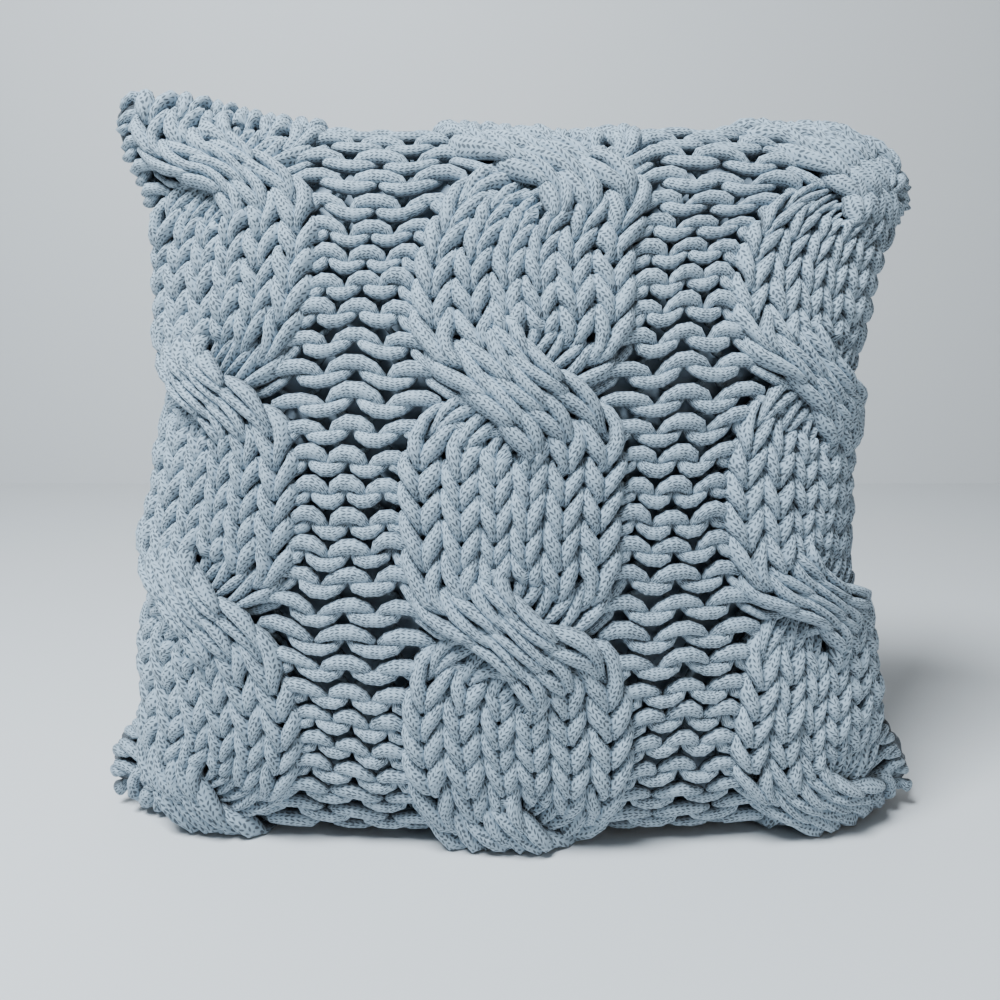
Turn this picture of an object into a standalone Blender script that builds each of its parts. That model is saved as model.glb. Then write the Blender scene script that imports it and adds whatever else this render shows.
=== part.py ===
"""A square throw pillow that stands on its lower edge: a cable-knit cover sewn over a zipped lining, with a
fibre-filled insert inside. The front faces -Y, +Z is up, and the origin is under the middle of the pillow."""

import math

import bmesh
import bpy

# The knitted cover, over everything
CORNER_HALF_WIDTH = 0.229
SIDE_HOLLOW = 0.18  # how far the sides draw in at mid-height, as a share of the half width
TAPER = 0.06  # how much narrower the top is than the foot
CORNER_TOP = 0.374
MIDDLE_HEIGHT = 0.180  # of the fullest section
TOP_HOLLOW = 0.045
SAG = 0.13  # how far the lower edge would hang past the table, as a share of MIDDLE_HEIGHT
HALF_DEPTH = 0.090
FULLNESS = 0.80  # 1 is an ellipse in section, and less is fuller
LEAN = 0.13  # set back per height, above LEAN_FROM
LEAN_FROM = 0.040
DEPTH_SHIFT = -0.01760  # brings the leaning pillow's box back over the origin
CELLS = 12

# The layers, from the outside in
KNIT_THICKNESS = 0.012
KNIT_EDGE = 0.007  # half the groove between the two panels' edges
KNIT_TURN = 0.0125
LINING_INSET = 0.0138
CASING_INSET = 0.0175
CLOTH_THICKNESS = 0.0010
FILL_INSET = 0.0225
EDGE_GAP = 0.0002
LINING_TURN = 0.0060  # how far the lining's edge runs straight towards the seam
CASING_TURN = 0.0040
FILL_TURN = 0.0022

# The joining yarn in the groove
YARN_RADIUS = 0.0040
YARN_INSET = 0.0054
YARN_CORNER_GAP = 0.016
YARN_STEPS = 16

# The zip in the lower seam
ZIP_HALF_LENGTH = 0.140
SLOT_PAST_ZIP = 0.020  # the lining's slot at each end of the zip
YARN_PAST_ZIP = 0.026
TAPE_PAST_ZIP = 0.010
AT_FOOT = -0.99  # the cells below this height, from -1 to 1, are the ones at the lower seam
ZIP_PITCH = 0.0036
ZIP_PLANE = 0.0129
TAPE_THICKNESS = 0.0006
TAPE_INNER = 0.0037
TAPE_OUTER = 0.0160
TOOTH_THICKNESS = 0.0016
TOOTH_TIP = 0.0006
SPINE_INNER = 0.0024
SPINE_OUTER = 0.0034
ZIP_SLOT = 0.0060
SLIDER_LENGTH = 0.0110
SLIDER_HALF_WIDTH = 0.0047
SLIDER_BOTTOM = 0.0104
SLIDER_TOP = 0.0154
SLIDER_ROUNDING = 0.0007
CUT_PAST = 0.0010
CHANNEL_BOTTOM = 0.0118
CHANNEL_TOP = 0.0140
CHANNEL_OUTER = 0.0038
POST_HALF = 0.0003
TAPE_SLOT_HALF = 0.0006
TAPE_SLOT_INNER = 0.0033
TAIL_HALF_WIDTH = 0.0010
TAIL_END = 0.0012  # where the two channels have joined into one
SLIDER_X = 0.1280
BRIDGE_BOTTOM = 0.0076
BRIDGE_BAR = 0.0010
BRIDGE_BAR_HALF = 0.0030
BRIDGE_HALF_WIDTH = 0.0010
BRIDGE_LEG_INNER = 0.0025
BRIDGE_LEG_OUTER = 0.0035
BRIDGE_ROOT = 0.0004
TAB_AXIS_Z = 0.0095
TAB_THICKNESS = 0.0011
TAB_LENGTH = 0.0270
TAB_HALF_WIDTH = 0.0032
TAB_WINDOW_HALF = 0.0016
TAB_WINDOW_LENGTH = 0.0046
TAB_CUT = 0.0020
TAB_HOLE_RADIUS = 0.0017
TAB_HOLE_IN = 0.0035
STOP_LENGTH = 0.0030
STOP_GAP = 0.0010

GREY_BLUE = (0.36, 0.43, 0.49, 1.0)
PALE_BLUE = (0.46, 0.55, 0.62, 1.0)
WHITE = (0.85, 0.85, 0.84, 1.0)
NICKEL = (0.62, 0.62, 0.63, 1.0)


def clear_scene():
    for old in list(bpy.data.objects):
        bpy.data.objects.remove(old, do_unlink=True)


def new_collection(name):
    made = bpy.data.collections.new(name)
    bpy.context.scene.collection.children.link(made)
    return made


def material(name, colour, roughness, metallic=0.0):
    made = bpy.data.materials.new(name)
    made.use_nodes = True
    shader = made.node_tree.nodes["Principled BSDF"]
    shader.inputs["Base Color"].default_value = colour
    shader.inputs["Roughness"].default_value = roughness
    shader.inputs["Metallic"].default_value = metallic
    made.diffuse_color = colour
    return made


def add_mesh(name, mesh, look, collection):
    made = bpy.data.objects.new(name, mesh)
    mesh.materials.append(look)
    collection.objects.link(made)
    return made


def face_point(across, up, inset, side, edge_depth):
    """A point of the layer that lies inset inside the knitted surface. across and up run from -1 to 1."""
    half_width = CORNER_HALF_WIDTH - inset
    x = across * half_width * (1 - SIDE_HOLLOW * (1 - up * up)) * (1 - TAPER * (up + 1) / 2)
    between_corners = 1 - across * across
    if up > 0:
        rise = (CORNER_TOP - MIDDLE_HEIGHT - inset) * (1 - TOP_HOLLOW * between_corners)
    else:
        rise = (MIDDLE_HEIGHT - inset) * (1 + SAG * between_corners)
    z = max(MIDDLE_HEIGHT + up * rise, inset)
    swell = (max(0.0, between_corners) * max(0.0, 1 - up * up)) ** (FULLNESS / 2)
    depth = edge_depth + (HALF_DEPTH - inset - edge_depth) * swell
    return x, side * depth, z


def leaned(x, y, z):
    return x, y + LEAN * max(0.0, z - LEAN_FROM) + DEPTH_SHIFT, z


def zip_opening(x, up):
    """1 along the zip in the lower seam, and 0 elsewhere."""
    return 1.0 if up < AT_FOOT and abs(x) < ZIP_HALF_LENGTH + SLOT_PAST_ZIP else 0.0


def layer_grid(inset, side, edge, turn, slot):
    """One face of a layer, from seam to seam. Its last row of cells runs straight to the seam plane."""
    grid = bmesh.new()
    cells = CELLS + 2
    bmesh.ops.create_grid(grid, x_segments=cells, y_segments=cells, size=1)
    half = CELLS / 2
    for vertex in grid.verts:
        column = vertex.co.x * (half + 1)
        row = vertex.co.y * (half + 1)
        on_rim = max(abs(column), abs(row)) > half + 0.5
        across = math.sin(max(-half, min(half, column)) / half * math.pi / 2)
        up = math.sin(max(-half, min(half, row)) / half * math.pi / 2)
        x, y, z = face_point(across, up, inset, side, edge + turn)
        rim = edge + (slot - edge) * zip_opening(x, up)
        if on_rim:
            y = side * rim
        elif abs(y) < rim + turn:
            y = side * (rim + turn)
        vertex.co = leaned(x, y, z)
    bmesh.ops.remove_doubles(grid, verts=grid.verts, dist=1e-6)
    return grid


def merge_grids(name, grids):
    """One mesh from several grids, each of which is freed."""
    joined = bmesh.new()
    for grid in grids:
        part_mesh = bpy.data.meshes.new(name)
        grid.to_mesh(part_mesh)
        grid.free()
        joined.from_mesh(part_mesh)
        bpy.data.meshes.remove(part_mesh)
    return joined


def finish_mesh(name, shape, look, collection):
    bmesh.ops.recalc_face_normals(shape, faces=shape.faces)
    mesh = bpy.data.meshes.new(name)
    shape.to_mesh(mesh)
    shape.free()
    mesh.shade_smooth()
    mesh.set_sharp_from_angle(angle=math.radians(50))
    return add_mesh(name, mesh, look, collection)


def layer_shell(name, inset, side, edge, turn, slot, thickness, look, collection):
    """Half of a layer: an outer and an inner face, bridged along the edge at the seam."""
    outer = layer_grid(inset, side, edge, turn, slot)
    inner = layer_grid(inset + thickness, side, edge, turn - thickness, slot)
    shell = merge_grids(name, (outer, inner))
    rims = [line for line in shell.edges if line.is_boundary]
    bmesh.ops.bridge_loops(shell, edges=rims)
    return finish_mesh(name, shell, look, collection)


def fibre_fill(look, collection):
    """The loose filling as one solid: a front and a back half that meet on the seam plane."""
    halves = [layer_grid(FILL_INSET, side, 0.0, FILL_TURN, 0.0) for side in (-1, 1)]
    filling = merge_grids("fibre_fill", halves)
    bmesh.ops.remove_doubles(filling, verts=filling.verts, dist=1e-6)
    return finish_mesh("fibre_fill", filling, look, collection)


def seam_line(start, end):
    """Points of the joining yarn between two places on the seam, each given as (across, up)."""
    points = []
    for step in range(YARN_STEPS + 1):
        share = step / YARN_STEPS
        across = start[0] + (end[0] - start[0]) * share
        up = start[1] + (end[1] - start[1]) * share
        x, _, z = face_point(across, up, YARN_INSET, 1, 0.0)
        points.append(leaned(x, 0.0, z))
    return points


def yarn_tube(name, points, look, collection):
    curve = bpy.data.curves.new(name, "CURVE")
    curve.dimensions = "3D"
    curve.bevel_depth = YARN_RADIUS
    curve.bevel_resolution = 2
    curve.use_fill_caps = True
    spline = curve.splines.new("POLY")
    spline.points.add(len(points) - 1)
    for point, place in zip(spline.points, points):
        point.co = (*place, 1.0)
    curve.materials.append(look)
    made = bpy.data.objects.new(name, curve)
    collection.objects.link(made)
    return made


def seam_yarns(look, collection):
    side_gap = YARN_CORNER_GAP / MIDDLE_HEIGHT
    top_gap = YARN_CORNER_GAP / CORNER_HALF_WIDTH
    zip_end = (ZIP_HALF_LENGTH + YARN_PAST_ZIP) / CORNER_HALF_WIDTH
    for name, sign in (("left", -1), ("right", 1)):
        side = seam_line((sign, side_gap - 1), (sign, 1))
        yarn_tube(f"seam_yarn_{name}", side, look, collection)
        bottom = seam_line((sign * zip_end, -1), (sign, -1))
        yarn_tube(f"seam_yarn_bottom_{name}", bottom, look, collection)
    top = seam_line((top_gap - 1, 1), (1 - top_gap, 1))
    yarn_tube("seam_yarn_top", top, look, collection)


def box_mesh(name, low, high):
    """A box between two corners, with its vertices in the pillow's own coordinates."""
    box = bmesh.new()
    bmesh.ops.create_cube(box, size=1)
    for vertex in box.verts:
        for axis in range(3):
            share = vertex.co[axis] + 0.5
            vertex.co[axis] = low[axis] + (high[axis] - low[axis]) * share
    mesh = bpy.data.meshes.new(name)
    box.to_mesh(mesh)
    box.free()
    return mesh


def helper_box(name, low, high, collection):
    made = bpy.data.objects.new(name, box_mesh(name, low, high))
    made.hide_render = True
    made.display_type = "WIRE"
    collection.objects.link(made)
    return made


def combine(target, tool, operation):
    step = target.modifiers.new(tool.name, "BOOLEAN")
    step.operation = operation
    step.solver = "EXACT"
    step.object = tool


def zip_tapes(look, collection):
    for name, side in (("front", -1), ("back", 1)):
        inner, outer = sorted((side * TAPE_INNER, side * TAPE_OUTER))
        low = (-ZIP_HALF_LENGTH - TAPE_PAST_ZIP, inner, ZIP_PLANE - TAPE_THICKNESS / 2)
        high = (ZIP_HALF_LENGTH + TAPE_PAST_ZIP, outer, ZIP_PLANE + TAPE_THICKNESS / 2)
        tape = add_mesh(f"zip_tape_{name}", box_mesh("tape", low, high), look, collection)
        tape.location.y = DEPTH_SHIFT


def tooth_row(name, side, shift, look, collection):
    """A row of moulded teeth on their spine, as one flat comb."""
    count = int((ZIP_HALF_LENGTH * 2 - STOP_LENGTH) / ZIP_PITCH)
    start = -count * ZIP_PITCH / 2 + shift
    outline = [(start, SPINE_OUTER), (start, SPINE_INNER)]
    for tooth in range(count):
        left = start + (tooth + 0.25) * ZIP_PITCH
        right = start + (tooth + 0.75) * ZIP_PITCH
        outline += [(left, SPINE_INNER), (left, TOOTH_TIP), (right, TOOTH_TIP), (right, SPINE_INNER)]
    end = start + count * ZIP_PITCH
    outline += [(end, SPINE_INNER), (end, SPINE_OUTER)]
    curve = bpy.data.curves.new(name, "CURVE")
    curve.dimensions = "2D"
    curve.fill_mode = "BOTH"
    curve.extrude = TOOTH_THICKNESS / 2
    spline = curve.splines.new("POLY")
    spline.points.add(len(outline) - 1)
    for point, (x, y) in zip(spline.points, outline):
        point.co = (x, side * y, 0.0, 1.0)
    spline.use_cyclic_u = True
    curve.materials.append(look)
    row = bpy.data.objects.new(name, curve)
    row.location = (0.0, DEPTH_SHIFT, ZIP_PLANE)
    collection.objects.link(row)


def zip_stops(look, collection):
    low_z = ZIP_PLANE - TOOTH_THICKNESS / 2
    high_z = ZIP_PLANE + TOOTH_THICKNESS / 2
    start = ZIP_HALF_LENGTH + STOP_GAP
    for name, side in (("front", -1), ("back", 1)):
        inner, outer = sorted((side * TOOTH_TIP, side * SPINE_OUTER))
        low = (start, inner, low_z)
        high = (start + STOP_LENGTH, outer, high_z)
        stop = add_mesh(f"zip_top_stop_{name}", box_mesh("stop", low, high), look, collection)
        stop.location.y = DEPTH_SHIFT
    low = (-start - STOP_LENGTH, -SPINE_OUTER, low_z)
    high = (-start, SPINE_OUTER, high_z)
    stop = add_mesh("zip_bottom_stop", box_mesh("stop", low, high), look, collection)
    stop.location.y = DEPTH_SHIFT


def zip_slider(look, collection, helpers):
    """A block with a channel for each tooth row round a centre post, and a bridge that holds the pull tab."""
    half = SLIDER_LENGTH / 2
    low = (-half, -SLIDER_HALF_WIDTH, SLIDER_BOTTOM)
    high = (half, SLIDER_HALF_WIDTH, SLIDER_TOP)
    slider = add_mesh("zip_slider", box_mesh("zip_slider", low, high), look, collection)
    rounding = slider.modifiers.new("rounding", "BEVEL")
    rounding.width = SLIDER_ROUNDING
    rounding.segments = 2
    past = half + CUT_PAST
    tools = []
    for name, side in (("front", -1), ("back", 1)):
        inner, outer = sorted((side * POST_HALF, side * CHANNEL_OUTER))
        low = (-past, inner, CHANNEL_BOTTOM)
        high = (past, outer, CHANNEL_TOP)
        tools.append((f"channel_{name}", low, high, "DIFFERENCE"))
        inner, outer = sorted((side * TAPE_SLOT_INNER, side * (SLIDER_HALF_WIDTH + CUT_PAST)))
        low = (-past, inner, ZIP_PLANE - TAPE_SLOT_HALF)
        high = (past, outer, ZIP_PLANE + TAPE_SLOT_HALF)
        tools.append((f"tape_slot_{name}", low, high, "DIFFERENCE"))
    low = (-past, -TAIL_HALF_WIDTH, CHANNEL_BOTTOM)
    high = (TAIL_END, TAIL_HALF_WIDTH, CHANNEL_TOP)
    tools.append(("tail_channel", low, high, "DIFFERENCE"))
    for name, side in (("tail", -1), ("nose", 1)):
        near, far = sorted((side * BRIDGE_LEG_INNER, side * BRIDGE_LEG_OUTER))
        low = (near, -BRIDGE_HALF_WIDTH, BRIDGE_BOTTOM)
        high = (far, BRIDGE_HALF_WIDTH, SLIDER_BOTTOM + BRIDGE_ROOT)
        tools.append((f"bridge_leg_{name}", low, high, "UNION"))
    low = (-BRIDGE_BAR_HALF, -BRIDGE_HALF_WIDTH, BRIDGE_BOTTOM)
    high = (BRIDGE_BAR_HALF, BRIDGE_HALF_WIDTH, BRIDGE_BOTTOM + BRIDGE_BAR)
    tools.append(("bridge_bar", low, high, "UNION"))
    slider.location = (SLIDER_X, DEPTH_SHIFT, 0.0)
    for name, low, high, operation in tools:
        tool = helper_box(name, low, high, helpers)
        tool.parent = slider
        combine(slider, tool, operation)


def pull_tab(look, collection, helpers):
    """A flat tab that points away from the nearer end of the zip, hung on the bridge by its own crossbar."""
    half = TAB_THICKNESS / 2
    low = (-TAB_LENGTH, -TAB_HALF_WIDTH, -half)
    high = (half, TAB_HALF_WIDTH, half)
    tab = add_mesh("zip_pull_tab", box_mesh("zip_pull_tab", low, high), look, collection)
    tab.location = (SLIDER_X, DEPTH_SHIFT, TAB_AXIS_Z)
    low = (-TAB_WINDOW_LENGTH, -TAB_WINDOW_HALF, -TAB_CUT)
    high = (-half, TAB_WINDOW_HALF, TAB_CUT)
    window = helper_box("tab_window", low, high, helpers)
    grip = bmesh.new()
    radius = TAB_HOLE_RADIUS
    bmesh.ops.create_cone(grip, cap_ends=True, segments=16, radius1=radius, radius2=radius, depth=TAB_CUT * 2)
    mesh = bpy.data.meshes.new("tab_hole")
    grip.to_mesh(mesh)
    grip.free()
    hole = bpy.data.objects.new("tab_hole", mesh)
    hole.location.x = TAB_HOLE_IN - TAB_LENGTH
    hole.hide_render = True
    hole.display_type = "WIRE"
    helpers.objects.link(hole)
    for tool in (window, hole):
        tool.parent = tab
        combine(tab, tool, "DIFFERENCE")


def build():
    clear_scene()
    pillow = new_collection("throw_pillow")
    helpers = new_collection("cutters")
    yarn = material("knit_yarn", GREY_BLUE, 0.9)
    lining_cloth = material("lining_cloth", PALE_BLUE, 0.8)
    casing_cloth = material("casing_cloth", WHITE, 0.8)
    fibre = material("polyester_fibre", WHITE, 1.0)
    tape = material("zip_tape", GREY_BLUE, 0.8)
    teeth = material("zip_teeth", GREY_BLUE, 0.4)
    metal = material("zip_metal", NICKEL, 0.3, 1.0)
    for name, side in (("front", -1), ("back", 1)):
        layer_shell(f"knit_{name}_panel", 0.0, side, KNIT_EDGE, KNIT_TURN, KNIT_EDGE,
                    KNIT_THICKNESS, yarn, pillow)
        layer_shell(f"lining_{name}", LINING_INSET, side, EDGE_GAP, LINING_TURN, ZIP_SLOT,
                    CLOTH_THICKNESS, lining_cloth, pillow)
        layer_shell(f"insert_casing_{name}", CASING_INSET, side, EDGE_GAP, CASING_TURN, EDGE_GAP,
                    CLOTH_THICKNESS, casing_cloth, pillow)
    fibre_fill(fibre, pillow)
    seam_yarns(yarn, pillow)
    zip_tapes(tape, pillow)
    tooth_row("zip_teeth_front", -1, 0.0, teeth, pillow)
    tooth_row("zip_teeth_back", 1, ZIP_PITCH / 2, teeth, pillow)
    zip_stops(metal, pillow)
    zip_slider(metal, pillow, helpers)
    pull_tab(metal, pillow, helpers)


build()
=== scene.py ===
"""The looks of a throw pillow in a chunky cable-knit cover: every course of tubular yarn is swept along its
own loops, over a smooth lining and a filled insert. Metres, in the part's own frame; the front faces -Y."""

import math

import bpy
import numpy as np
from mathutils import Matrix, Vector


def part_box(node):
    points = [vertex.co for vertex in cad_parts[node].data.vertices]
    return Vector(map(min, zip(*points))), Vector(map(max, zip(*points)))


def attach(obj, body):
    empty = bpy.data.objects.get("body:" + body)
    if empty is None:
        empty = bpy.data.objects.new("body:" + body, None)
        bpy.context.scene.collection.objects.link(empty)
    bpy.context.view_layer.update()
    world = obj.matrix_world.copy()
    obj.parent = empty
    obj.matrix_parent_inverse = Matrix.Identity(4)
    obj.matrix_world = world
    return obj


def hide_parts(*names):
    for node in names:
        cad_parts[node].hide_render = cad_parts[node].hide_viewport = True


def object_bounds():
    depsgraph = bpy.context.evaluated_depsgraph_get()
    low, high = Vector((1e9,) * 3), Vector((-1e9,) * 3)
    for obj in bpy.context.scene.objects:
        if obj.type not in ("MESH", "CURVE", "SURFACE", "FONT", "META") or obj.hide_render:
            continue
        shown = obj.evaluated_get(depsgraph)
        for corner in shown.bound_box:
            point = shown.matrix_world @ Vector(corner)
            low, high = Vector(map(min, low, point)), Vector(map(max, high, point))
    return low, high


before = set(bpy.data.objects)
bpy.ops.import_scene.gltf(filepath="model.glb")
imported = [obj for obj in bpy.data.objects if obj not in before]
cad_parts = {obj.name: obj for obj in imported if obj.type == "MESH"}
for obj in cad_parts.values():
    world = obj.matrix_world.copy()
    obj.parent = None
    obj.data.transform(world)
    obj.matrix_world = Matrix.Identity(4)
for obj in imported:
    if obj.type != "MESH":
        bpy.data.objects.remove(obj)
cad_low, cad_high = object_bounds()

# ---- the pillow's form, from the frame -------------------------------------------------------------------
tape_low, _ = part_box("zip_tape_front")
_, tape_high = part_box("zip_tape_back")
SEAM_Y = (tape_low.y + tape_high.y) / 2
slider_low, slider_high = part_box("zip_slider")
ZIP_ROOM = (slider_high.y - slider_low.y) / 2 + 0.0015  # half the slot that the slider runs along
ZIP_TOP = slider_high.z + 0.0015
ZIP_END = 0.163
CORNER_HALF_WIDTH = cad_high.x
CORNER_TOP = cad_high.z
MIDDLE_HEIGHT = CORNER_TOP * 0.48  # where the pillow is thickest
SIDE_HOLLOW = 0.18  # how far the sides draw in between their corners, of the half width
TAPER = 0.06  # how much narrower the top is than the bottom
TOP_HOLLOW = 0.045
SAG = 0.13  # how far the lower edge sags between its corners
HALF_DEPTH = 0.090
FULLNESS = 0.80  # the lower it is, the steeper the faces rise from the seam
LEAN = 0.13  # metres back for each metre up
LEAN_FROM = 0.040
EAR = 0.80  # how flat the corners lie, where the insert doesn't reach
EAR_REACH = 0.034
FORM_STEPS = 161
NORMAL_SMOOTHINGS = 3
OVERHANG = 0.02  # how far past its edges a face can be read, of its size

# ---- the knitting --------------------------------------------------------------------------------------
ROWS = 30
FIRST_CROSSING = 2.5  # in rows from the lower edge
CROSSING_EVERY = 8
CROSSING_LENGTH = 3.8  # rows over which two strands change places
ROW_HEIGHT = 0.0150
LEG_SLANT = 0.33  # how far a stitch's legs lean, of its width
LESS_SLANT = 0.10  # how much less they lean at a crossing
LEG_TALL = 0.86  # half the height of a cable's loop, in rows
PURL_TALL = 0.71
PURL_CURVE = 0.12
PURL_SLANT = 0.30
CABLE_OUT = 0.0010
LEG_OUT = 0.0038
HEAD_IN = 0.0008
CABLE_THIN = 0.70  # a cable's yarn at its thinnest, of its radius, and how much thicker its legs are
CABLE_THICKER = 0.42
SQUEEZE = 0.35  # how the yarn thins where its stitches narrow, as a power of their width
PURL_OUT = -0.0030
PURL_HEAD_OUT = 0.0042
PURL_THIN = 0.44
PURL_THICKER = 0.50
PURL_HEAD_THICKER = 0.06
PRESS = 0.0044  # how far down the edge of a leg is pressed
PRESS_FROM = 0.0022
PRESS_WIDTH = 0.0031
PRESS_LIMIT = 1.6
PRESS_POWER = 1.5
CABLE_HALF = 0.0583
SIDE_CABLE = 0.87  # the two side cables are drawn in, to this share of the middle one
OUTER_WIDER = 0.12  # how much wider a strand's outer stitches are than its middle ones
CABLE_PULL = 0.021  # how far each edge of a cable draws in at a crossing
CABLE_PULL_ROWS = 2.3
STRAND_PULL = 0.004  # the same for the middle of each strand
STRAND_PULL_ROWS = 2.0
STRAND_TILT = 0.85  # how far a strand's stitches turn along it
STITCH_PULL = 0.0080  # how much narrower a stitch is at a crossing
STITCH_PULL_ROWS = 1.5
LIFT_OVER = 0.0075
LIFT_UNDER = 0.0045
LIFT_ROWS = 1.5
CROWN = 0.0030  # how far a cable's middle stands out past its edges
PURL_WIDTH = 0.0560
EDGE_STITCH = 0.0090
CABLE_CENTRE = CABLE_HALF * (1 + SIDE_CABLE) + PURL_WIDTH
PANEL_HALF = CABLE_CENTRE + CABLE_HALF * SIDE_CABLE + EDGE_STITCH
PATTERN_SHIFT = 0.0040  # how far right of the middle the front's middle cable sits
EDGE_DRAWN_IN = 0.985  # the side edges are laced this much short of the seam
WALE = CABLE_HALF / 3
YARN = 0.0042  # the yarn's radius where it is not squeezed
JOIN_FROM = 0.60  # where in its half a stitch's yarn starts to blend into the next one's
KNIT_SIZES = {"front": (-1, 20, 12), "back": (1, 14, 10)}  # side, samples for each stitch, sides of the tube
BANDS = 4  # pieces for each panel
KNIT_INSET = 0.0090
KNIT_EDGE = 0.0100
FLOOR_GAP = 0.0003
FLOOR_SOFTNESS = 0.0012  # how gradually the yarn flattens against what the pillow stands on

# ---- the layers inside: how far in, and half the gap between their two sides at the seam ----------------
LINING_INSET = 0.0185
LINING_EDGE = 0.0030
CASING_INSET = 0.0215
CASING_EDGE = 0.0022
FILL_INSET = 0.0235
FILL_EDGE = 0.0015
LINING_PUCKER = 0.0012
CASING_PUCKER = 0.0016
FILL_LUMP = 0.0012
RIPPLES = (61, 53)  # how often the cloth ripples across and up, in radians
LUMPS = (19, 17)  # the same for the filling's lumps, broad and fine
FINE_LUMPS = (37, 41)
RIM = 0.05  # how near the seam the ripples die out, of the face's size

# ---- unevenness of hand knitting: each stitch's own, and slow waves over the whole panel ------------------
UNEVEN_PLACE = 0.03
UNEVEN_CABLE = 0.04
UNEVEN_PURL = 0.03
UNEVEN_ASIDE = 0.0004
UNEVEN_OUT = 0.0006
UNEVEN_THICKNESS = 0.04
ASIDE_WAVES = ((0.0016, 13, 47, 0.0), (0.0011, -31, 83, 1.7))  # height, then turns by x and y, then start
UPWARD_WAVES = ((0.0014, 61, 23, 0.6), (0.0010, 109, -37, 2.9))

# ---- the seam's chain of loops --------------------------------------------------------------------------
SEAM_PITCH = 0.0130
SEAM_HALF_WIDTH = 0.0080
SEAM_YARN = 0.0038
SEAM_OUT = 0.0020
SEAM_LOOP_TALL = 0.86  # half a loop's length, in pitches
SEAM_POINTED = 0.35
SEAM_CROWN = 0.0022
SEAM_THIN = 0.72
SEAM_THICKER = 0.30
SEAM_UNEVEN = (0.04, 0.06, 0.0005)
SEAM_STEP = 0.001
SEAM_SMOOTHINGS = 40
SEAM_SAMPLES = 34
SEAM_SIDES = 10
ZIP_BELOW = 0.05  # the zip's gap in the seam is below this height

# ---- colours and the studio -------------------------------------------------------------------------------
YARN_DARK = (0.275, 0.355, 0.430)
YARN_LIGHT = (0.335, 0.425, 0.505)
YARN_FLECK = (0.50, 0.60, 0.68)
# painted shade for the sides and back of each tube of yarn
YARN_SIDE_PAINTED_SHADE = (0.060, 0.068, 0.078)
# painted shade in the holes between the yarn's fine stitches
YARN_HOLE_PAINTED_SHADE = (0.035, 0.040, 0.048)
YARN_WALES = 8.0  # fine knitted wales round the yarn
YARN_STITCH = 0.0026  # the length of one fine stitch
FLOOR_HALF_WIDTH = 4
FLOOR_FRONT = -3
WALL_Y = 1.1
WALL_TOP = 4
FLOOR_COLOUR = (0.66, 0.66, 0.66)
WORLD_COLOUR = (0.86, 0.88, 0.90, 1)
WORLD_STRENGTH = 0.085
LENS = 36.0
CAMERA_PLACE = (-0.006, SEAM_Y - 0.525, 0.262)
CAMERA_PITCH = 80

rng = np.random.default_rng(7)


def smooth(x):
    x = np.clip(x, 0.0, 1.0)
    return x * x * (3 - 2 * x)


def unit(v):
    return v / np.maximum(np.linalg.norm(v, axis=-1, keepdims=True), 1e-12)


# ---- the form ------------------------------------------------------------------------------------------
# Where the cover's own slackness moves it: a place, how far round it the move reaches, and the move
MOVES = (
    ((-0.215, 0.030, 0.370), 0.095, (0.004, -0.026, 0.010)),
    ((0.220, 0.030, 0.350), 0.060, (0.010, 0.012, -0.010)),
    ((0.170, 0.030, 0.370), 0.060, (0.000, 0.004, -0.006)),
    ((-0.200, -0.010, 0.300), 0.060, (0.006, 0.000, 0.000)),
    ((-0.190, -0.020, 0.150), 0.090, (-0.010, -0.004, 0.000)),
    ((0.190, -0.010, 0.165), 0.080, (-0.004, 0.000, 0.000)),
    ((-0.205, -0.020, 0.062), 0.040, (0.006, 0.000, 0.000)),
    ((0.205, -0.020, 0.062), 0.040, (-0.006, 0.000, 0.000)),
    ((0.020, 0.030, 0.360), 0.060, (0.000, 0.000, -0.006)),
    ((0.206, 0.030, 0.338), 0.052, (0.016, 0.012, -0.004)),
    ((-0.206, 0.030, 0.352), 0.045, (-0.006, 0.000, 0.004)),
    ((-0.222, 0.000, 0.030), 0.050, (-0.004, 0.000, 0.008)),
    ((0.222, 0.000, 0.030), 0.050, (0.003, 0.000, 0.008)),
    ((-0.216, 0.030, 0.372), 0.040, (0.009, 0.000, -0.008)),
    ((0.216, 0.030, 0.372), 0.040, (-0.007, 0.000, -0.007)),
)


def posed(points):
    """The points after the moves, each fading smoothly to nothing at its reach."""
    moved = points.copy()
    for place, reach, move in MOVES:
        distance = np.linalg.norm((points - place)[..., [0, 2]], axis=-1)
        moved += smooth(1 - distance / reach)[..., None] * np.array(move)
    return moved


def form_grid(side, inset, edge):
    """Points on one face of the pillow, inset inside its outside, as (row, column, xyz)."""
    steps = np.sin(np.linspace(-math.pi / 2, math.pi / 2, FORM_STEPS))
    across, up = np.meshgrid(steps, steps)
    x = across * (CORNER_HALF_WIDTH - inset) * (1 - SIDE_HOLLOW * (1 - up * up)) * (1 - TAPER * (up + 1) / 2)
    high = (CORNER_TOP - MIDDLE_HEIGHT - inset) * (1 - TOP_HOLLOW * (1 - across * across))
    low = (MIDDLE_HEIGHT - inset) * (1 + SAG * (1 - across * across))
    z = np.maximum(MIDDLE_HEIGHT + up * np.where(up > 0, high, low), inset)
    swell = (np.clip(1 - across**2, 0, 1) * np.clip(1 - up**2, 0, 1)) ** (FULLNESS / 2)
    to_corner = np.hypot((1 - np.abs(across)) * CORNER_HALF_WIDTH, (1 - np.abs(up)) * MIDDLE_HEIGHT)
    swell = swell * (1 - EAR * np.exp(-((to_corner / EAR_REACH) ** 2)))
    y = side * (edge + (HALF_DEPTH - inset - edge) * swell)
    y = y + LEAN * np.maximum(0, z - LEAN_FROM) + SEAM_Y
    return posed(np.stack([x, y, z], -1))


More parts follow.
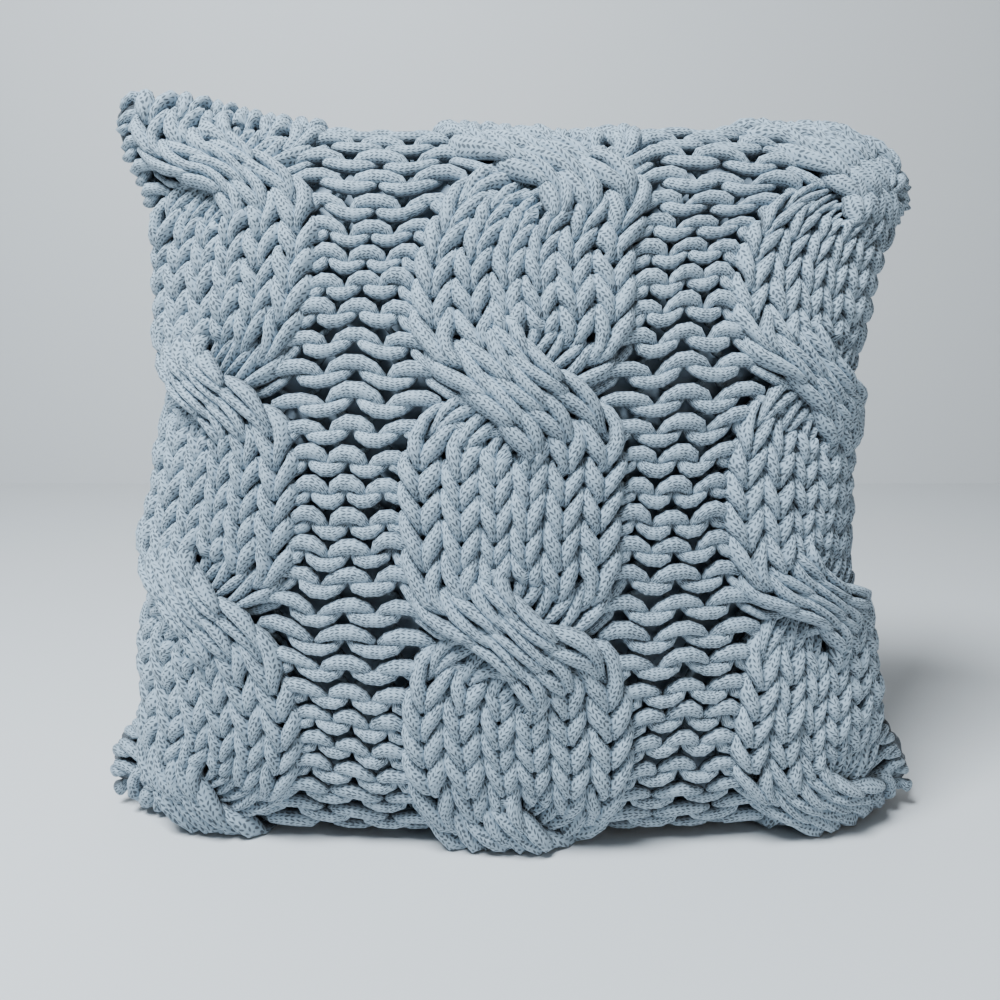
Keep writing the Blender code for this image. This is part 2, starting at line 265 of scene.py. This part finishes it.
def even_steps(grid, count):
    """The same surface with its columns at even distances along each row."""
    out = np.empty((grid.shape[0], count, 3))
    want = np.linspace(0, 1, count)
    for row, points in enumerate(grid):
        run = np.concatenate([[0], np.cumsum(np.linalg.norm(np.diff(points, axis=0), axis=1))])
        for axis in range(3):
            out[row, :, axis] = np.interp(want * run[-1], run, points[:, axis])
    return out


class Surface:
    """One face of the pillow, read by how far across and how far up it a place is, each from 0 to 1."""

    def __init__(self, grid, side):
        grid = even_steps(grid, FORM_STEPS)
        grid = even_steps(grid.transpose(1, 0, 2), FORM_STEPS).transpose(1, 0, 2)
        self.points = grid
        along = np.gradient(grid, axis=1)
        upward = np.gradient(grid, axis=0)
        self.normals = unit(np.cross(along, upward)) * -side
        for _ in range(NORMAL_SMOOTHINGS):
            self.normals[1:-1, 1:-1] = unit(
                self.normals[1:-1, 1:-1] * 2 + self.normals[:-2, 1:-1] + self.normals[2:, 1:-1]
                + self.normals[1:-1, :-2] + self.normals[1:-1, 2:])

    def read(self, table, across, up):
        last = FORM_STEPS - 1
        column = np.clip(across, -OVERHANG, 1 + OVERHANG) * last
        row = np.clip(up, -OVERHANG, 1 + OVERHANG) * last
        c = np.clip(column.astype(int), 0, last - 1)
        r = np.clip(row.astype(int), 0, last - 1)
        fc = (column - c)[..., None]
        fr = (row - r)[..., None]
        low = table[r, c] * (1 - fc) + table[r, c + 1] * fc
        high = table[r + 1, c] * (1 - fc) + table[r + 1, c + 1] * fc
        return low * (1 - fr) + high * fr

    def place(self, across, up, out):
        return self.read(self.points, across, up) + self.read(self.normals, across, up) * out[..., None]


# ---- the loops -----------------------------------------------------------------------------------------
# Each wale: its kind, the cable or purl panel it is in, and its place there
WALES = [("edge", -1, 0)]
for panel, kind in enumerate(("cable", "purl", "cable", "purl", "cable")):
    WALES += [(kind, panel, place) for place in range(6 if kind == "cable" else 3)]
WALES.append(("edge", 1, 0))

jitter = rng.normal(0, 1, (ROWS + 2, len(WALES), 4))


def nearest_crossing(q):
    return np.abs((q - FIRST_CROSSING + CROSSING_EVERY / 2) % CROSSING_EVERY - CROSSING_EVERY / 2)


def cable_edge(q, size):
    return size * CABLE_HALF - CABLE_PULL * np.exp(-((nearest_crossing(q) / CABLE_PULL_ROWS) ** 2))


def strand(q, course, side, size):
    """Where the middle of a three-stitch strand runs: its sideways place, tilt, lift and stitch width.
    side is where the strand lies at this course, -1 for left. It came over from the right at the crossing
    below, and goes under to the right at the one above; a strand on the right does the opposite."""
    below = FIRST_CROSSING + CROSSING_EVERY * np.floor((course + 0.5 - FIRST_CROSSING) / CROSSING_EVERY)
    above = below + CROSSING_EVERY

    def sideways(at):
        near = np.exp(-((nearest_crossing(at) / STRAND_PULL_ROWS) ** 2))
        came = smooth((at - below) / CROSSING_LENGTH + 0.5)
        goes = smooth((at - above) / CROSSING_LENGTH + 0.5)
        return side * size * (CABLE_HALF / 2 - STRAND_PULL * near) * (2 * came - 1 - 2 * goes)

    slope = (sideways(q + 0.1) - sideways(q - 0.1)) / (0.2 * ROW_HEIGHT)
    front = below if side < 0 else above
    back = above if side < 0 else below
    over = LIFT_OVER * size * np.exp(-(((q - front) / LIFT_ROWS) ** 2))
    under = LIFT_UNDER * np.exp(-(((q - back) / LIFT_ROWS) ** 2))
    width = size * (WALE - STITCH_PULL * np.exp(-((nearest_crossing(q) / STITCH_PULL_ROWS) ** 2)))
    return sideways(q), np.arctan(slope) * STRAND_TILT, over - under, width


def cable_loop(panel, place, course, q, t):
    """A cable stitch's yarn: sideways, upward, height, radius, place in the stitch, width, tilt, front."""
    side = -1 if place < 3 else 1
    size = 1 if panel == 2 else SIDE_CABLE
    middle, tilt, lift, width = strand(q, course, side, size)
    step = place % 3 - 1
    lean = np.clip(middle / (size * CABLE_HALF / 2), -1, 1)  # -1 where the strand is all the way left
    centre = width * (step - lean * (OUTER_WIDER - OUTER_WIDER / 2 * step * step))
    width = width * (1 + OUTER_WIDER * lean * step)
    slant = LEG_SLANT - LESS_SLANT * np.exp(-((nearest_crossing(q) / STITCH_PULL_ROWS) ** 2))
    local = width * t / (2 * math.pi) + slant * width * np.sin(2 * t)
    offset = centre + local
    cable = (panel - 2) / 2 * CABLE_CENTRE
    x = cable + middle + offset * np.cos(tilt)
    y = q * ROW_HEIGHT - offset * np.sin(tilt)
    crown = CROWN * (1 - (np.abs(x - cable) / CABLE_HALF / size).clip(0, 1) ** 2)
    out = CABLE_OUT + crown + lift + LEG_OUT * (1 - 2 * np.cos(t) ** 4) - HEAD_IN * np.cos(t)
    squeeze = (width / WALE) ** SQUEEZE * size**0.5
    radius = YARN * squeeze * (CABLE_THIN + CABLE_THICKER * np.sin(t) ** 2)
    return x, y, out, radius, local, width, tilt, np.sin(t) ** 2


def purl_loop(kind, panel, place, q, t):
    """The same for a purl stitch, between two cables or at a side edge."""
    if kind == "purl":
        inner = cable_edge(q, 1)
        outer = CABLE_CENTRE - cable_edge(q, SIDE_CABLE)
        width = (outer - inner) / 3
        centre = (panel - 2) * (inner + outer) / 2 + (place - 1) * width
    else:
        inner = CABLE_CENTRE + cable_edge(q, SIDE_CABLE)
        width = PANEL_HALF - inner
        centre = panel * (inner + PANEL_HALF) / 2
    local = width * t / (2 * math.pi) + PURL_SLANT * width * np.sin(2 * t)
    out = PURL_OUT + PURL_HEAD_OUT * (1 - 2 * np.sin(t) ** 4)
    thicker = (PURL_THICKER + PURL_HEAD_THICKER * np.cos(t)) * np.abs(np.cos(t)) ** 4
    radius = YARN * (PURL_THIN + thicker)
    return centre + local, q * ROW_HEIGHT, out, radius, local, width, np.zeros_like(t), np.zeros_like(t)


def loop(course, wale, t):
    """A stitch's yarn at t, from -pi to pi with the head at 0. As rows: sideways, upward, height, radius,
    the place beside its leg's own middle, half a leg's width, the tilt, and how far it lies in front."""
    kind, panel, place = WALES[wale]
    rand = jitter[course, wale]
    q = course + 0.5 + UNEVEN_PLACE * rand[3]
    if kind == "cable":
        q = q + (LEG_TALL + UNEVEN_CABLE * rand[0]) * np.cos(t)
        x, y, out, radius, local, width, tilt, front = cable_loop(panel, place, course, q, t)
    else:
        q = q + (PURL_TALL + UNEVEN_PURL * rand[0]) * (np.cos(t) + PURL_CURVE * np.cos(3 * t))
        x, y, out, radius, local, width, tilt, front = purl_loop(kind, panel, place, q, t)
    x = x + UNEVEN_ASIDE * rand[1]
    out = out + UNEVEN_OUT * rand[2]
    beside = local - np.sign(t) * width / 4
    return np.stack([x, y, out, radius * (1 + UNEVEN_THICKNESS * rand[3]), beside, width / 4, tilt, front])


def wander(x, y):
    """How far hand knitting strays sideways and upward from an even grid."""
    aside = sum(height * np.sin(x * by_x + y * by_y + start) for height, by_x, by_y, start in ASIDE_WAVES)
    upward = sum(height * np.sin(x * by_x + y * by_y + start) for height, by_x, by_y, start in UPWARD_WAVES)
    return x + aside, y + upward


def course_line(course, samples):
    """The whole course's yarn, from the left seam to the right one."""
    t = -math.pi + (np.arange(samples) + 0.5) / samples * 2 * math.pi
    share = 0.5 * smooth((np.abs(t) / math.pi - JOIN_FROM) / (1 - JOIN_FROM))
    left = t < 0
    lines = []
    for wale in range(len(WALES)):
        own = loop(course, wale, t)
        other = own.copy()
        if wale > 0:
            other[:4, left] = loop(course, wale - 1, t[left] + 2 * math.pi)[:4]
        if wale < len(WALES) - 1:
            other[:4, ~left] = loop(course, wale + 1, t[~left] - 2 * math.pi)[:4]
        lines.append(own * (1 - share) + other * share)
    return np.concatenate(lines, axis=1)


def pressed(ring, line, beside, half, tilt, front):
    """Yarn packed against its neighbours: each leg goes down at the edges of its own half of the stitch."""
    reach = ring - line[:, None]
    sideways = reach[..., 0] * np.cos(tilt)[:, None] - reach[..., 1] * np.sin(tilt)[:, None]
    over = np.abs(beside[:, None] + sideways) - (half - PRESS_FROM)[:, None]
    ring = ring.copy()
    ring[..., 2] -= PRESS * front[:, None] * np.clip(over / PRESS_WIDTH, 0, PRESS_LIMIT) ** PRESS_POWER
    return ring


# ---- yarn as a swept tube ------------------------------------------------------------------------------
def tube(line, radii, sides, normals, shape):
    """A closed tube round a line: vertices, quads, their corners' (length, share round), caps and theirs."""
    tangents = unit(np.gradient(line, axis=0))
    across = unit(np.cross(tangents, normals))
    outward = np.cross(across, tangents)
    angle = np.linspace(0, 2 * math.pi, sides, endpoint=False)
    ring = across[:, None] * np.cos(angle)[None, :, None] + outward[:, None] * np.sin(angle)[None, :, None]
    vertices = shape(line[:, None] + ring * radii[:, None, None]).reshape(-1, 3)
    count = len(line)
    run = np.concatenate([[0], np.cumsum(np.linalg.norm(np.diff(line, axis=0), axis=1))])
    i, k = np.meshgrid(np.arange(count - 1), np.arange(sides), indexing="ij")
    i, k = i.ravel(), k.ravel()
    n = (k + 1) % sides
    quads = np.stack([i * sides + k, i * sides + n, (i + 1) * sides + n, (i + 1) * sides + k], 1)
    uv = np.stack([
        np.stack([run[i], k / sides], 1), np.stack([run[i], (k + 1) / sides], 1),
        np.stack([run[i + 1], (k + 1) / sides], 1), np.stack([run[i + 1], k / sides], 1)], 1)
    first = len(vertices)
    ends = shape(np.repeat(line[:, None], 1, axis=1))[[0, -1], 0]
    vertices = np.concatenate([vertices, ends])
    k = np.arange(sides)
    n = (k + 1) % sides
    base = (count - 1) * sides
    caps = np.concatenate([
        np.stack([n, k, np.full(sides, first)], 1),
        np.stack([base + k, base + n, np.full(sides, first + 1)], 1)])
    cap_uv = np.zeros((2 * sides, 3, 2))
    return vertices, quads, uv, caps, cap_uv


def mesh_object(name, tubes, material):
    """One object from several tubes, with the yarn's own coordinates in its UV layer."""
    vertices, loops, totals, uvs = [], [], [], []
    offset = 0
    for points, quads, uv, caps, cap_uv in tubes:
        vertices.append(points)
        loops += [(quads + offset).ravel(), (caps + offset).ravel()]
        totals += [np.full(len(quads), 4), np.full(len(caps), 3)]
        uvs += [uv.reshape(-1, 2), cap_uv.reshape(-1, 2)]
        offset += len(points)
    vertices = np.concatenate(vertices)
    above = vertices[:, 2] - FLOOR_GAP
    vertices[:, 2] = FLOOR_GAP + (above + np.sqrt(above**2 + FLOOR_SOFTNESS**2)) / 2
    loops = np.concatenate(loops)
    totals = np.concatenate(totals)
    mesh = bpy.data.meshes.new(name)
    mesh.vertices.add(len(vertices))
    mesh.vertices.foreach_set("co", vertices.astype(np.float32).ravel())
    mesh.loops.add(len(loops))
    mesh.loops.foreach_set("vertex_index", loops.astype(np.int32))
    mesh.polygons.add(len(totals))
    starts = np.concatenate([[0], np.cumsum(totals)[:-1]])
    mesh.polygons.foreach_set("loop_start", starts.astype(np.int32))
    mesh.polygons.foreach_set("loop_total", totals.astype(np.int32))
    layer = mesh.uv_layers.new(name="yarn")
    layer.data.foreach_set("uv", np.concatenate(uvs).astype(np.float32).ravel())
    mesh.update(calc_edges=True)
    mesh.validate()
    mesh.shade_smooth()
    made = bpy.data.objects.new(name, mesh)
    bpy.context.scene.collection.objects.link(made)
    mesh.materials.append(material)
    return made


# ---- materials -----------------------------------------------------------------------------------------
class Nodes:
    """A material's node tree, written as short calls."""

    def __init__(self, name, colour, roughness, metallic=0.0):
        self.material = bpy.data.materials.new(name)
        self.material.use_nodes = True
        self.tree = self.material.node_tree
        self.shader = self.tree.nodes["Principled BSDF"]
        self.shader.inputs["Base Color"].default_value = (*colour, 1)
        self.shader.inputs["Roughness"].default_value = roughness
        self.shader.inputs["Metallic"].default_value = metallic

    def link(self, source, target):
        if isinstance(source, bpy.types.NodeSocket):
            self.tree.links.new(source, target)
        else:
            target.default_value = source

    def math(self, operation, *values):
        node = self.tree.nodes.new("ShaderNodeMath")
        node.operation = operation
        for value, socket in zip(values, node.inputs):
            self.link(value, socket)
        return node.outputs[0]

    def ramp(self, value, low, high):
        node = self.tree.nodes.new("ShaderNodeMapRange")
        node.interpolation_type = "SMOOTHSTEP"
        self.link(value, node.inputs["Value"])
        node.inputs["From Min"].default_value = low
        node.inputs["From Max"].default_value = high
        return node.outputs["Result"]

    def mix(self, share, first, second):
        node = self.tree.nodes.new("ShaderNodeMix")
        node.data_type = "RGBA"
        self.link(share, node.inputs[0])
        for value, socket in ((first, node.inputs[6]), (second, node.inputs[7])):
            self.link(value if isinstance(value, bpy.types.NodeSocket) else (*value, 1), socket)
        return node.outputs[2]

    def noise(self, scale, detail=2.0):
        place = self.tree.nodes.new("ShaderNodeTexCoord")
        node = self.tree.nodes.new("ShaderNodeTexNoise")
        node.inputs["Scale"].default_value = scale
        node.inputs["Detail"].default_value = detail
        self.link(place.outputs["Object"], node.inputs["Vector"])
        return node.outputs["Fac"]

    def uv(self, layer):
        node = self.tree.nodes.new("ShaderNodeUVMap")
        node.uv_map = layer
        split = self.tree.nodes.new("ShaderNodeSeparateXYZ")
        self.link(node.outputs[0], split.inputs[0])
        return split.outputs[0], split.outputs[1]

    def colour(self, value):
        self.link(value, self.shader.inputs["Base Color"])

    def bump(self, height, strength, distance):
        node = self.tree.nodes.new("ShaderNodeBump")
        node.inputs["Strength"].default_value = strength
        node.inputs["Distance"].default_value = distance
        self.link(height, node.inputs["Height"])
        self.link(node.outputs[0], self.shader.inputs["Normal"])

    def sheen(self, weight, roughness, tint):
        self.shader.inputs["Sheen Weight"].default_value = weight
        self.shader.inputs["Sheen Roughness"].default_value = roughness
        self.shader.inputs["Sheen Tint"].default_value = (*tint, 1)


def yarn_material():
    """Tubular cotton yarn: fine knitted wales that run along it, each a column of small slanted legs. Painted
    shade darkens the holes between them and the sides and back of each tube.
    """
    yarn = Nodes("knit_yarn_look", (0.40, 0.48, 0.56), 0.9)
    along, round_share = yarn.uv("yarn")
    wale = yarn.math("MULTIPLY", round_share, YARN_WALES)
    from_middle = yarn.math("ABSOLUTE", yarn.math("SUBTRACT", yarn.math("FRACT", wale), 0.5))
    slanted = yarn.math("MULTIPLY", from_middle, 1.5)
    stitch = yarn.math("ADD", yarn.math("DIVIDE", along, YARN_STITCH), slanted)
    wave = yarn.math("COSINE", yarn.math("MULTIPLY", stitch, 2 * math.pi))
    leg = yarn.math("SINE", yarn.math("MULTIPLY", from_middle, 2 * math.pi))
    uneven = yarn.noise(260.0, 1.0)
    depth = yarn.math("ADD", yarn.math("MULTIPLY", leg, 1.5), yarn.math("MULTIPLY", wave, 0.55))
    depth = yarn.math("ADD", depth, yarn.math("MULTIPLY", yarn.math("SUBTRACT", uneven, 0.5), 2.2))
    dash = yarn.ramp(depth, 0.95, 1.85)
    broad = yarn.noise(9.0, 3.0)
    fine = yarn.noise(420.0, 2.0)
    base = yarn.mix(yarn.ramp(broad, 0.3, 0.7), YARN_DARK, YARN_LIGHT)
    base = yarn.mix(yarn.math("MULTIPLY", yarn.ramp(fine, 0.35, 0.75), 0.30), base, YARN_FLECK)
    # painted shade: each tube of yarn darkens towards its sides and back, by its angle round the tube
    outward = yarn.math("SINE", yarn.math("MULTIPLY", round_share, 2 * math.pi))
    base = yarn.mix(yarn.ramp(outward, -0.5, 0.85), YARN_SIDE_PAINTED_SHADE, base)
    # painted shade: the dashes between the fine stitches, which the bump sets down, are darkened towards this
    # colour
    yarn.colour(yarn.mix(yarn.math("MULTIPLY", dash, 0.85), base, YARN_HOLE_PAINTED_SHADE))
    height = yarn.math("SUBTRACT", yarn.math("MULTIPLY", fine, 0.25), dash)
    yarn.bump(height, 0.55, 0.0007)
    yarn.sheen(0.15, 0.5, (0.80, 0.88, 0.95))
    return yarn.material


def woven_material(name, colour, shade, scale):
    """Plain-weave cloth, with painted shade where its threads dip under each other."""
    cloth = Nodes(name, colour, 0.85)
    place = cloth.tree.nodes.new("ShaderNodeTexCoord")
    split = cloth.tree.nodes.new("ShaderNodeSeparateXYZ")
    cloth.link(place.outputs["Object"], split.inputs[0])
    warp = cloth.math("SINE", cloth.math("MULTIPLY", split.outputs[0], scale))
    weft = cloth.math("SINE", cloth.math("MULTIPLY", split.outputs[2], scale))
    weave = cloth.math("MULTIPLY", warp, weft)
    # painted shade: the cloth darkens to its shade colour where the weave's bump goes down
    cloth.colour(cloth.mix(cloth.ramp(weave, -0.6, 0.9), shade, colour))
    cloth.bump(weave, 0.3, 0.0003)
    cloth.sheen(0.2, 0.5, (1, 1, 1))
    return cloth.material


yarn_look = yarn_material()
lining_look = woven_material("lining_look", (0.42, 0.52, 0.62), (0.34, 0.43, 0.53), 9000.0)
casing_look = woven_material("casing_look", (0.80, 0.80, 0.78), (0.66, 0.66, 0.65), 7000.0)


# ---- build ---------------------------------------------------------------------------------------------
faces = {}
for name, side in (("front", -1), ("back", 1)):
    faces[name] = Surface(form_grid(side, KNIT_INSET, KNIT_EDGE), side)


def clear_of_zip(points, side):
    """The lowest loops, kept out of the slot that the slider runs along."""
    past = np.maximum(0, points[..., 2] - ZIP_TOP) + np.maximum(0, np.abs(points[..., 0]) - ZIP_END)
    away = np.maximum(side * (points[..., 1] - SEAM_Y), ZIP_ROOM - 3 * past)
    points[..., 1] = SEAM_Y + side * away
    return points


def knit_panel(name):
    surface = faces[name]
    side, samples, sides = KNIT_SIZES[name]
    shift = PATTERN_SHIFT if name == "front" else 0.0
    for band, courses in enumerate(np.array_split(np.arange(ROWS), BANDS)):
        tubes = []
        for course in courses:
            x, y, out, radius, *cell = course_line(course, samples)
            line = np.stack([x, y, out], 1)

            def shape(ring, line=line, cell=cell):
                ring = pressed(ring, line, *cell)
                x, y = wander(ring[..., 0], ring[..., 1])
                across = x / PANEL_HALF * EDGE_DRAWN_IN
                across = (across + shift / PANEL_HALF * (1 - across**2) + 1) / 2
                return clear_of_zip(surface.place(across, y / (ROWS * ROW_HEIGHT), ring[..., 2]), side)

            tubes.append(tube(line, radius, sides, np.array((0, 0, 1.0)), shape))
        piece = mesh_object(f"knit_{name}_rows_{band + 1}", tubes, yarn_look)
        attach(piece, "pillow")
        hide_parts(f"knit_{name}_panel")


knit_panel("front")
knit_panel("back")


def outline():
    """The seam's path in even steps, anticlockwise from the middle of the lower edge, seen from the front."""
    edges = []
    middle = (faces["front"].points + faces["back"].points) / 2
    half = FORM_STEPS // 2
    for part in (middle[0, half:], middle[:, -1], middle[-1, ::-1], middle[::-1, 0], middle[0, : half + 1]):
        edges.append(part)
    path = np.concatenate(edges)
    for _ in range(3):
        run = np.concatenate([[0], np.cumsum(np.linalg.norm(np.diff(path, axis=0), axis=1))])
        want = np.linspace(0, run[-1], int(run[-1] / SEAM_STEP))
        path = np.stack([np.interp(want, run, path[:, axis]) for axis in range(3)], 1)
        for _ in range(SEAM_SMOOTHINGS):
            path[1:-1] = path[1:-1] / 2 + (path[:-2] + path[2:]) / 4
    return path


seam = outline()
zip_gap = (np.abs(seam[:, 0]) < ZIP_END) & (seam[:, 2] < ZIP_BELOW)
open_part = np.flatnonzero(~zip_gap)
seam = seam[open_part[0]:open_part[-1] + 1]
seam_run = np.concatenate([[0], np.cumsum(np.linalg.norm(np.diff(seam, axis=0), axis=1))])
seam_along = unit(np.gradient(seam, axis=0))
seam_outward = unit(np.cross(seam_along, (0, 1, 0)))
seam_aside = np.cross(seam_outward, seam_along)


def on_seam(table, place):
    return np.stack([np.interp(place, seam_run, table[:, axis]) for axis in range(3)], 1)


def seam_chain(name, start, stop):
    """A row of loops along a stretch of the seam, each drawn through the last, closing the panels' edges."""
    count = max(2, round((stop - start) / SEAM_PITCH))
    pitch = (stop - start) / count
    t = np.linspace(-math.pi, math.pi, SEAM_SAMPLES)
    tubes = []
    for stitch in range(count):
        rand = rng.normal(0, 1, 4)
        place = start + (stitch + 0.5 + SEAM_UNEVEN[0] * rand[0] + SEAM_LOOP_TALL * np.cos(t)) * pitch
        wide = SEAM_HALF_WIDTH * (1 + SEAM_UNEVEN[1] * rand[1])
        sideways = wide * np.sin(t) * (1 + SEAM_POINTED * np.cos(t))
        out = SEAM_OUT + SEAM_CROWN * (1 - 2 * np.cos(t) ** 4) + SEAM_UNEVEN[2] * rand[2]
        radius = SEAM_YARN * (SEAM_THIN + SEAM_THICKER * np.sin(t) ** 2)
        beyond = place - np.clip(place, 0, seam_run[-1])
        outward = on_seam(seam_outward, place)
        line = on_seam(seam, place) + on_seam(seam_along, place) * beyond[:, None]
        line = line + outward * out[:, None] + on_seam(seam_aside, place) * sideways[:, None]
        tubes.append(tube(line, radius, SEAM_SIDES, outward, lambda ring: ring))
    piece = mesh_object(f"{name}_loops", tubes, yarn_look)
    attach(piece, "pillow")
    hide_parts(name)


right_low = seam_run[np.argmax(seam[:, 0] - seam[:, 2])]
right_high = seam_run[np.argmax(seam[:, 0] + seam[:, 2])]
left_high = seam_run[np.argmax(-seam[:, 0] + seam[:, 2])]
left_low = seam_run[np.argmax(-seam[:, 0] - seam[:, 2])]
seam_chain("seam_yarn_bottom_right", 0, right_low)
seam_chain("seam_yarn_right", right_low, right_high)
seam_chain("seam_yarn_top", right_high, left_high)
seam_chain("seam_yarn_left", left_high, left_low)
seam_chain("seam_yarn_bottom_left", left_low, seam_run[-1])


# ---- inside the cover ----------------------------------------------------------------------------------
def cloth_sheet(name, node, side, inset, edge, material, pucker):
    """A single layer of cloth over one face of the filling, slack enough to ripple near the seam."""
    grid = form_grid(side, inset, edge)[::2, ::2]
    rows, columns, _ = grid.shape
    up, across = np.meshgrid(np.linspace(0, 1, rows), np.linspace(0, 1, columns), indexing="ij")
    rim = np.minimum.reduce([up, 1 - up, across, 1 - across])
    ripple = np.sin(across * RIPPLES[0] + side) * np.sin(up * RIPPLES[1] + side * 2)
    inside = smooth(rim / RIM) * (1 - 0.6 * smooth(rim / 0.3))
    grid[..., 1] -= side * pucker * inside * (1 + ripple) / 2
    index = np.arange(rows * columns).reshape(rows, columns)
    quads = np.stack([index[:-1, :-1], index[:-1, 1:], index[1:, 1:], index[1:, :-1]], -1).reshape(-1, 4)
    if side > 0:
        quads = quads[:, ::-1]
    mesh = bpy.data.meshes.new(name)
    mesh.from_pydata(grid.reshape(-1, 3).tolist(), [], quads.tolist())
    mesh.shade_smooth()
    made = bpy.data.objects.new(name, mesh)
    bpy.context.scene.collection.objects.link(made)
    mesh.materials.append(material)
    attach(made, "pillow")
    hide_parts(node)
    return made


def fibre_piece():
    """The filling as one soft lumpy body, closed round its edge."""
    front = form_grid(-1, FILL_INSET, FILL_EDGE)[::2, ::2]
    back = form_grid(1, FILL_INSET, FILL_EDGE)[::2, ::2]
    rows, columns, _ = front.shape
    up, across = np.meshgrid(np.linspace(0, 1, rows), np.linspace(0, 1, columns), indexing="ij")
    rim = np.minimum.reduce([up, 1 - up, across, 1 - across])
    for side, grid in ((-1, front), (1, back)):
        lumps = np.sin(across * LUMPS[0] + side) * np.sin(up * LUMPS[1] + side)
        lumps += np.sin(across * FINE_LUMPS[0]) * np.sin(up * FINE_LUMPS[1] + 1)
        grid[..., 1] -= side * FILL_LUMP * smooth(rim / (2 * RIM)) * (2 + lumps) / 2
    index = np.arange(rows * columns).reshape(rows, columns)
    quads = np.stack([index[:-1, :-1], index[:-1, 1:], index[1:, 1:], index[1:, :-1]], -1).reshape(-1, 4)
    total = rows * columns
    ring = np.concatenate([index[0, :-1], index[:-1, -1], index[-1, :0:-1], index[:0:-1, 0]])
    following = np.roll(ring, -1)
    wall = np.stack([following, ring, ring + total, following + total], 1)
    faces_all = np.concatenate([quads, quads[:, ::-1] + total, wall])
    mesh = bpy.data.meshes.new("fibre_filling")
    points = np.concatenate([front.reshape(-1, 3), back.reshape(-1, 3)])
    mesh.from_pydata(points.tolist(), [], faces_all.tolist())
    mesh.shade_smooth()
    made = bpy.data.objects.new("fibre_filling", mesh)
    bpy.context.scene.collection.objects.link(made)
    look = Nodes("fibre_look", (0.86, 0.86, 0.85), 1.0)
    clump = look.noise(90.0, 4.0)
    look.colour(look.mix(clump, (0.74, 0.74, 0.74), (0.92, 0.92, 0.91)))
    look.bump(clump, 0.6, 0.002)
    mesh.materials.append(look.material)
    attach(made, "pillow")
    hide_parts("fibre_fill")
    return made


for name, side in (("front", -1), ("back", 1)):
    lining = cloth_sheet(f"lining_sheet_{name}", f"lining_{name}", side, LINING_INSET, LINING_EDGE,
                         lining_look, LINING_PUCKER)
    casing = cloth_sheet(f"casing_sheet_{name}", f"insert_casing_{name}", side, CASING_INSET, CASING_EDGE,
                         casing_look, CASING_PUCKER)
fibre_piece()

# ---- the zip -------------------------------------------------------------------------------------------
tape_look = woven_material("zip_tape_look", (0.27, 0.34, 0.41), (0.18, 0.23, 0.29), 12000.0)
teeth_look = Nodes("zip_teeth_look", (0.25, 0.31, 0.37), 0.35)
grain = teeth_look.noise(900.0, 2.0)
teeth_look.colour(teeth_look.mix(grain, (0.22, 0.28, 0.34), (0.29, 0.36, 0.42)))
teeth_look.bump(grain, 0.15, 0.0001)
metal_look = Nodes("zip_metal_look", (0.60, 0.60, 0.61), 0.3, 1.0)
scuffs = metal_look.noise(600.0, 4.0)
metal_look.colour(metal_look.mix(scuffs, (0.50, 0.50, 0.51), (0.70, 0.70, 0.71)))
metal_look.link(metal_look.math("ADD", metal_look.math("MULTIPLY", scuffs, 0.25), 0.18),
                metal_look.shader.inputs["Roughness"])
metal_look.bump(scuffs, 0.1, 0.00005)
for node, look in (
        ("zip_tape_front", tape_look), ("zip_tape_back", tape_look),
        ("zip_teeth_front", teeth_look.material), ("zip_teeth_back", teeth_look.material),
        ("zip_top_stop_front", metal_look.material), ("zip_top_stop_back", metal_look.material),
        ("zip_bottom_stop", metal_look.material), ("zip_slider", metal_look.material),
        ("zip_pull_tab", metal_look.material)):
    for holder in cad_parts[node].material_slots:
        holder.material = look

# ---- stage ---------------------------------------------------------------------------------------------
floor_mesh = bpy.data.meshes.new("floor")
near_left = (-FLOOR_HALF_WIDTH, FLOOR_FRONT, 0)
near_right = (FLOOR_HALF_WIDTH, FLOOR_FRONT, 0)
far_right = (FLOOR_HALF_WIDTH, WALL_Y, 0)
far_left = (-FLOOR_HALF_WIDTH, WALL_Y, 0)
top_left = (-FLOOR_HALF_WIDTH, WALL_Y, WALL_TOP)
top_right = (FLOOR_HALF_WIDTH, WALL_Y, WALL_TOP)
stage_corners = [near_left, near_right, far_right, far_left, top_left, top_right]
floor_mesh.from_pydata(stage_corners, [], [(0, 1, 2, 3), (3, 2, 5, 4)])
floor = bpy.data.objects.new("floor", floor_mesh)
bpy.context.scene.collection.objects.link(floor)
floor_look = Nodes("floor_look", FLOOR_COLOUR, 0.6)
floor_mesh.materials.append(floor_look.material)

world = bpy.data.worlds.new("studio")
world.use_nodes = True
world.node_tree.nodes["Background"].inputs["Color"].default_value = WORLD_COLOUR
world.node_tree.nodes["Background"].inputs["Strength"].default_value = WORLD_STRENGTH
bpy.context.scene.world = world


def area_light(name, place, target, size, energy, colour):
    data = bpy.data.lights.new(name, "AREA")
    data.size = size
    data.energy = energy
    data.color = colour
    lamp = bpy.data.objects.new(name, data)
    lamp.location = place
    direction = np.array(target) - np.array(place)
    lamp.rotation_mode = "QUATERNION"
    lamp.rotation_quaternion = Vector(direction).to_track_quat("-Z", "Y")
    bpy.context.scene.collection.objects.link(lamp)


area_light("key", place=(-0.55, -0.70, 1.62), target=(0, 0.1, 0.2), size=0.6, energy=80,
           colour=(0.82, 0.92, 1.0))
area_light("fill", place=(1.2, -1.4, 0.5), target=(0, 0, 0.2), size=1.2, energy=4, colour=(1.0, 0.93, 0.85))

camera_data = bpy.data.cameras.new("camera")
camera_data.lens = LENS
camera_data.sensor_width = 36.0
camera = bpy.data.objects.new("camera", camera_data)
camera.location = CAMERA_PLACE
camera.rotation_euler = (math.radians(CAMERA_PITCH), 0, 0)
bpy.context.scene.collection.objects.link(camera)
bpy.context.scene.camera = camera
